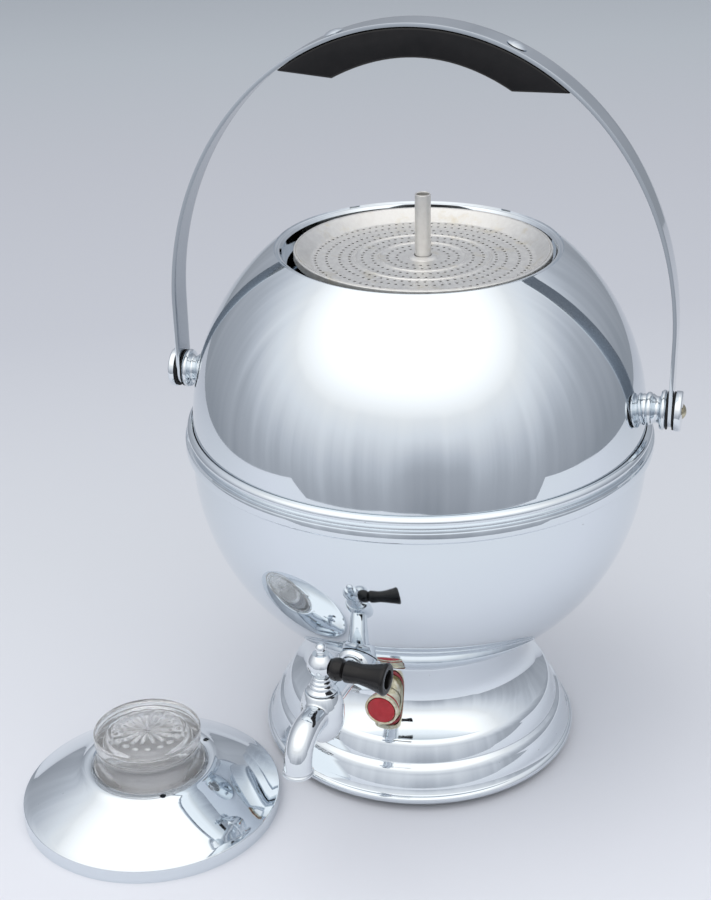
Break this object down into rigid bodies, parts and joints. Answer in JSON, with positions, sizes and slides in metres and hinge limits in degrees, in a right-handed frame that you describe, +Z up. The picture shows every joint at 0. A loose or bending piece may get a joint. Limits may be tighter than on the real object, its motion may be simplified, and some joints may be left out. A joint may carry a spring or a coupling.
{
  "type": "coffee percolator",
  "caption": "Ball-shaped electric coffee percolator on a stepped pedestal, with a strap bail, lever spigot, pilot light, pump, basket and a loose lid with a glass knob.",
  "frame": {"origin": "centre of the flat underside of the base plate, on the vessel's axis; the three feet reach 4.3 mm lower", "axes": "+Z up, +X along the bail's pivot axis to the right, -Y towards the front, where the spigot and the pilot light are"},
  "size_m": [0.3474, 0.3162, 0.4205],
  "materials": {
    "chromed_steel": "mirror-polished chrome on pressed steel",
    "chromed_brass": "polished chrome on cast and turned brass",
    "satin_aluminium": "dull satin aluminium with light coffee stains",
    "tarnished_brass": "dulled brass",
    "nickelled_brass": "nickel-plated brass",
    "zinc_plated_steel": "zinc-plated steel",
    "black_bakelite": "black phenolic moulding, slightly worn",
    "black_fibre": "black vulcanised fibre",
    "black_rubber": "black rubber",
    "red_glass": "deep red glass",
    "clear_glass": "clear pressed glass",
    "white_ceramic": null
  },
  "bodies": {
    "urn": {"lower_bowl": "chromed_steel", "upper_dome": "chromed_steel", "belt_band": "chromed_steel", "pedestal_base": "chromed_steel", "base_plate": "zinc_plated_steel", "base_ring": "zinc_plated_steel", "foot_front": "black_rubber", "foot_left": "black_rubber", "foot_right": "black_rubber", "foot_screw_front": "zinc_plated_steel", "foot_screw_left": "zinc_plated_steel", "foot_screw_right": "zinc_plated_steel", "heater_well": "satin_aluminium", "heating_element": "zinc_plated_steel", "thermostat": "white_ceramic", "pilot_bezel": "tarnished_brass", "pilot_lens": "red_glass", "pilot_nut": "tarnished_brass", "pilot_bulb": "clear_glass", "inlet_shroud": "chromed_steel", "inlet_insulator": "white_ceramic", "inlet_pin_left": "nickelled_brass", "inlet_pin_right": "nickelled_brass", "spigot_body": "chromed_brass", "spigot_collar": "chromed_brass", "spigot_washer": "black_rubber", "spigot_locknut": "nickelled_brass", "spigot_bonnet": "chromed_brass", "pivot_boss_left": "chromed_brass", "pivot_boss_right": "chromed_brass", "fibre_washer_inner_left": "black_fibre", "fibre_washer_inner_right": "black_fibre", "fibre_washer_outer_left": "black_fibre", "fibre_washer_outer_right": "black_fibre", "pivot_cap_left": "chromed_brass", "pivot_cap_right": "chromed_brass", "pivot_screw_left": "nickelled_brass", "pivot_screw_right": "nickelled_brass", "anchor_screw_left": "zinc_plated_steel", "anchor_screw_right": "zinc_plated_steel"},
    "bail": {"bail_strap": "chromed_steel", "bail_grip": "black_bakelite", "grip_screw_left": "chromed_steel", "grip_screw_right": "chromed_steel"},
    "tap": {"spigot_plug": "nickelled_brass", "spigot_knob": "chromed_brass", "lever_stud": "chromed_brass", "spigot_lever": "black_bakelite"},
    "pump": {"pump_stem": "satin_aluminium", "pump_bell": "satin_aluminium"},
    "valve": {"valve_washer": "nickelled_brass"},
    "basket": {"coffee_basket": "satin_aluminium"},
    "spreader": {"spreader_dish": "satin_aluminium"},
    "lid": {"lid_shell": "chromed_steel", "glass_knob": "clear_glass", "knob_retainer": "zinc_plated_steel"}
  },
  "joints": [
    {"name": "bail_swing", "type": "hinge", "parent": "urn", "child": "bail", "pos_m": [0, 0, 0.2146], "axis": [1, 0, 0], "range_deg": [-110, 110]},
    {"name": "tap_turn", "type": "hinge", "parent": "urn", "child": "tap", "pos_m": [-0.01799, -0.14237, 0.09], "axis": [0, 0, 1], "range_deg": [-90, 0]},
    {"name": "pump_lift", "type": "slide", "parent": "urn", "child": "pump", "axis": [0, 0, 1], "range_m": [0, 0.036]},
    {"name": "valve_lift", "type": "slide", "parent": "pump", "child": "valve", "axis": [0, 0, 1], "range_m": [0, 0.004]},
    {"name": "basket_lift", "type": "slide", "parent": "pump", "child": "basket", "axis": [0, 0, 1], "range_m": [0, 0.016]},
    {"name": "spreader_lift", "type": "slide", "parent": "basket", "child": "spreader", "axis": [0, 0, 1], "range_m": [0, 0.024]},
    {"name": "lid_lift", "type": "slide", "parent": "urn", "child": "lid", "axis": [-0.2563, -0.2265, 0.9397], "range_m": [0, 0.06]}
  ]
}
